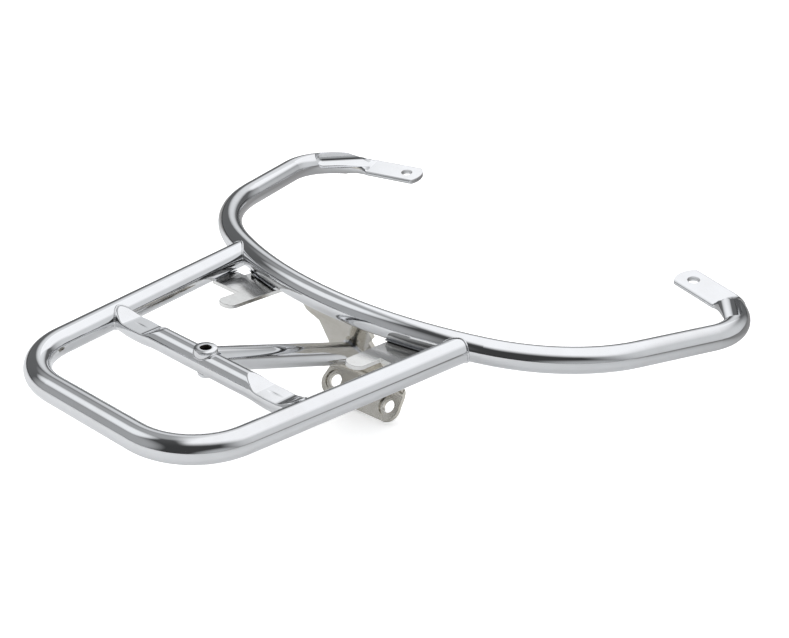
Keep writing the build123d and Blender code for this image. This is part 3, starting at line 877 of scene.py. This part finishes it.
def floor_material(studio, across):
    """Matt pale floor; in reflections its table ends beyond the rack."""
    material = bpy.data.materials.new("studio_floor")
    material.use_nodes = True
    tree = material.node_tree
    shader = tree.nodes["Principled BSDF"]
    shader.inputs["Roughness"].default_value = 0.9
    shader.inputs["Specular IOR Level"].default_value = 0.1
    place = tree.nodes.new("ShaderNodeTexCoord")
    reach = dot_node(tree, place.outputs["Object"], across)
    edge = studio.table_edge
    share = ramp_node(tree, reach, edge, edge + studio.table_fade, 0.0, 1.0)
    table = colour_mix(tree, share, studio.table_colour, studio.room_colour)
    colour = pick_for_camera(tree, table, studio.floor_colour)
    tree.links.new(colour, shader.inputs["Base Color"])
    lift = tree.nodes.new("ShaderNodeLightPath")
    tree.links.new(lift.outputs["Is Camera Ray"], shader.inputs["Emission Color"])
    shader.inputs["Emission Strength"].default_value = studio.floor_lift
    return material


def toward(azimuth, right_turn, elevation):
    """Direction seen from the rack: degrees right of straight ahead of the camera, and above level."""
    heading = azimuth - math.radians(right_turn)
    rise = math.radians(elevation)
    level = math.cos(rise)
    return Vector((-math.sin(heading) * level, math.cos(heading) * level, math.sin(rise)))


def add_glows(tree, level, place, azimuth, glows):
    """Brightest of a level and the soft round glows in a list."""
    for right_turn, elevation, inner, outer, strength in glows:
        along = dot_node(tree, place, toward(azimuth, right_turn, elevation))
        outer_edge = math.cos(math.radians(outer))
        inner_edge = math.cos(math.radians(inner))
        glow = ramp_node(tree, along, outer_edge, inner_edge, 0.0, strength)
        level = math_node(tree, "MAXIMUM", level, glow)
    return level


def studio_world(azimuth):
    """Dim room with soft glows: ahead and high on the left, and low on the right, behind and on the left."""
    world = bpy.data.worlds.new("studio")
    world.use_nodes = True
    tree = world.node_tree
    place = tree.nodes.new("ShaderNodeTexCoord").outputs["Generated"]
    ahead = dot_node(tree, place, toward(azimuth, 0.0, 0.0))
    level = ramp_node(tree, ahead, *ROOM_RAMP)
    horizon = ramp_node(tree, dot_node(tree, place, UP), *HORIZON_RAMP)
    level = add_glows(tree, level, place, azimuth, FAR_GLOWS)
    level = math_node(tree, "MULTIPLY", level, horizon)
    level = add_glows(tree, level, place, azimuth, LOW_GLOWS)
    tint = tree.nodes.new("ShaderNodeMix")
    tint.data_type = "RGBA"
    tint.blend_type = "MULTIPLY"
    tint.inputs["Factor"].default_value = 1.0
    tint.inputs["B"].default_value = ROOM_TINT
    tree.links.new(level, tint.inputs["A"])
    colour = pick_for_camera(tree, tint.outputs["Result"], BACKDROP_COLOUR)
    tree.links.new(colour, tree.nodes["Background"].inputs["Color"])
    return world


def panel_material():
    """Glow that thins out to clear towards the overhead panel's edges."""
    material = bpy.data.materials.new("overhead_panel")
    material.use_nodes = True
    tree = material.node_tree
    tree.nodes.remove(tree.nodes["Principled BSDF"])
    glow = tree.nodes.new("ShaderNodeEmission")
    glow.inputs["Color"].default_value = PANEL_TINT
    glow.inputs["Strength"].default_value = PANEL_LEVEL
    clear = tree.nodes.new("ShaderNodeBsdfTransparent")
    blend = tree.nodes.new("ShaderNodeMixShader")
    place = tree.nodes.new("ShaderNodeTexCoord").outputs["Object"]
    share = 1.0
    sides = ((-1.0, 0.0, 0.0), (1.0, 0.0, 0.0), (0.0, -1.0, 0.0), (0.0, 1.0, 0.0))
    for side, fade in zip(sides, PANEL_FADES):
        reach = dot_node(tree, place, side)
        share = math_node(tree, "MULTIPLY", ramp_node(tree, reach, 1.0 - fade, 1.0, 1.0, 0.0), share)
    for start, end in (
        (share, blend.inputs[0]),
        (clear.outputs["BSDF"], blend.inputs[1]),
        (glow.outputs["Emission"], blend.inputs[2]),
        (blend.outputs["Shader"], tree.nodes["Material Output"].inputs["Surface"]),
    ):
        tree.links.new(start, end)
    return material


class RACK_OT_stage(bpy.types.Operator):
    """Set the pale floor, the soft light and the camera"""

    bl_idname = "rack.stage"
    bl_label = "Stage"

    def execute(self, context):
        studio = context.scene.rack_studio
        self.floor(context, studio)
        self.lights(context, studio)
        self.panel(context, studio)
        self.camera(context, studio)
        context.scene.view_settings.view_transform = "Standard"
        return {"FINISHED"}

    def floor(self, context, studio):
        """Level floor under the lowest point of the rack."""
        half = studio.floor_size
        level = CAD_BOX[0].z
        mesh = bpy.data.meshes.new("studio_floor")
        corners = [(x * half, y * half, level) for x, y in ((-1, -1), (1, -1), (1, 1), (-1, 1))]
        mesh.from_pydata(corners, [], [(0, 1, 2, 3)])
        mesh.materials.append(floor_material(studio, toward(studio.camera_azimuth, TABLE_TURN, 0.0)))
        floor = bpy.data.objects.new("studio_floor", mesh)
        context.collection.objects.link(floor)

    def lights(self, context, studio):
        """The room's light, and a soft lamp above that lifts the floor and that the chrome doesn't show."""
        context.scene.world = studio_world(studio.camera_azimuth)
        lamp = bpy.data.lights.new("overhead", "AREA")
        lamp.shape = "DISK"
        lamp.size = studio.key_size
        lamp.energy = studio.key_power
        overhead = bpy.data.objects.new("overhead", lamp)
        overhead.location = studio.key_place
        overhead.visible_glossy = False
        context.collection.objects.link(overhead)

    def panel(self, context, studio):
        """Soft white panel that the chrome mirrors, level and square to the view."""
        mesh = bpy.data.meshes.new("overhead_panel")
        mesh.from_pydata([(-1, -1, 0), (1, -1, 0), (1, 1, 0), (-1, 1, 0)], [], [(0, 1, 2, 3)])
        mesh.materials.append(panel_material())
        panel = bpy.data.objects.new("overhead_panel", mesh)
        across, ahead, height = PANEL_PLACE
        right = toward(studio.camera_azimuth, 90.0, 0.0)
        front = toward(studio.camera_azimuth, 0.0, 0.0)
        panel.location = right * across + front * ahead + UP * height
        panel.rotation_euler = (0.0, 0.0, studio.camera_azimuth)
        panel.scale = (*PANEL_HALF, 1.0)
        panel.visible_camera = False
        context.collection.objects.link(panel)

    def camera(self, context, studio):
        """Camera at the photograph's view."""
        data = bpy.data.cameras.new("camera")
        data.sensor_width = 36.0
        data.lens = studio.lens
        data.clip_start = 0.01
        camera = bpy.data.objects.new("camera", data)
        turn = Matrix.Rotation(studio.camera_azimuth, 4, "Z")
        tilt = Matrix.Rotation(math.pi / 2 - studio.camera_elevation, 4, "X")
        lean = Matrix.Rotation(studio.camera_roll, 4, "Z")
        camera.matrix_world = Matrix.Translation(studio.camera_place) @ turn @ tilt @ lean
        context.collection.objects.link(camera)
        context.scene.camera = camera


class RACK_PT_panel(bpy.types.Panel):
    """Sidebar list of the rack's steps"""

    bl_label = "Luggage rack"
    bl_idname = "RACK_PT_panel"
    bl_space_type = "VIEW_3D"
    bl_region_type = "UI"
    bl_category = "Rack"

    def draw(self, context):
        column = self.layout.column()
        for step in STEPS:
            column.operator(step.bl_idname)


STEPS = (RACK_OT_tubes, RACK_OT_cross_tube, RACK_OT_plates, RACK_OT_boss, RACK_OT_welds, RACK_OT_stage)
CLASSES = (RackSizes, RackFinish, RackStudio, *STEPS, RACK_PT_panel)


def register():
    for item in CLASSES:
        bpy.utils.register_class(item)
    bpy.types.Scene.rack_sizes = bpy.props.PointerProperty(type=RackSizes)
    bpy.types.Scene.rack_finish = bpy.props.PointerProperty(type=RackFinish)
    bpy.types.Scene.rack_studio = bpy.props.PointerProperty(type=RackStudio)


def unregister():
    del bpy.types.Scene.rack_studio
    del bpy.types.Scene.rack_finish
    del bpy.types.Scene.rack_sizes
    for item in reversed(CLASSES):
        bpy.utils.unregister_class(item)


def main():
    register()
    bpy.ops.rack.tubes()
    bpy.ops.rack.cross_tube()
    bpy.ops.rack.plates()
    bpy.ops.rack.boss()
    bpy.ops.rack.welds()
    bpy.ops.rack.stage()
    bpy.context.view_layer.update()


if __name__ == "__main__":
    main()
